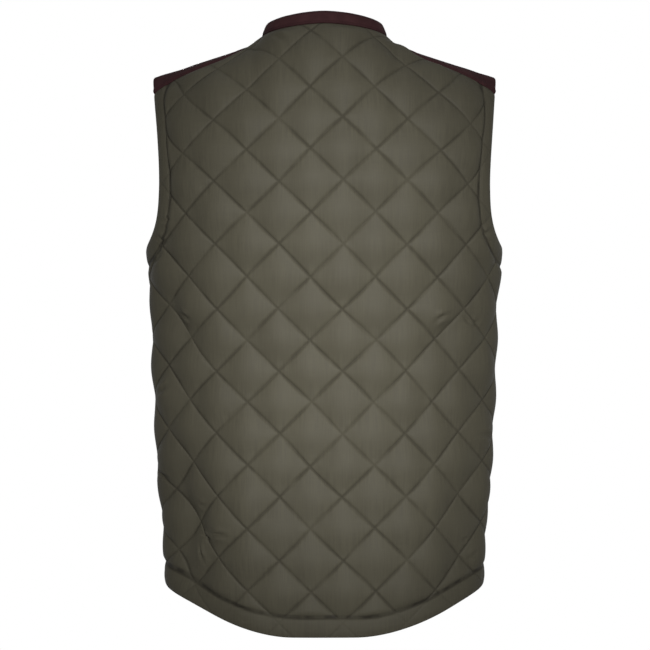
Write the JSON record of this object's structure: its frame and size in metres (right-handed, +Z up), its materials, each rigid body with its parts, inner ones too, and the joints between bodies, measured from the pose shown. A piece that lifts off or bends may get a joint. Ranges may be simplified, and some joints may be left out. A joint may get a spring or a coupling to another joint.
{
  "type": "quilted vest",
  "caption": "Sleeveless quilted vest in its worn form, with a diamond-quilted body, plain shoulder yokes, a low neck band, shaped hem and front zip",
  "frame": {"origin": "middle of the neck opening, level with the points where the shoulders meet the neck, where the wearer's shoulders hold the vest up", "axes": "+Z up; -Y out of the front, +Y out of the back; +X towards the wearer's left"},
  "size_m": [0.4262, 0.2581, 0.7209],
  "materials": {
    "quilted_cloth": "woven, soft sheen, quilted in diamonds",
    "brushed_trim": "brushed, matt",
    "zip_tape": "woven tape, matt",
    "zip_metal": "aged, satin"
  },
  "bodies": {
    "vest": {"back": "quilted_cloth", "front_left": "quilted_cloth", "front_right": "quilted_cloth", "yoke_left": "brushed_trim", "yoke_right": "brushed_trim", "neck_band": "brushed_trim", "zip_tape_left": "zip_tape", "zip_tape_right": "zip_tape", "zip_chain": "zip_metal", "zip_box": "zip_metal", "zip_slider": "zip_metal"},
    "pull": {"zip_pull": "zip_metal"}
  },
  "joints": [
    {"name": "pull_hinge", "type": "hinge", "parent": "vest", "child": "pull", "pos_m": [0, -0.11366, -0.06626], "axis": [-1, 0, 0], "range_deg": [0, 110]}
  ]
}
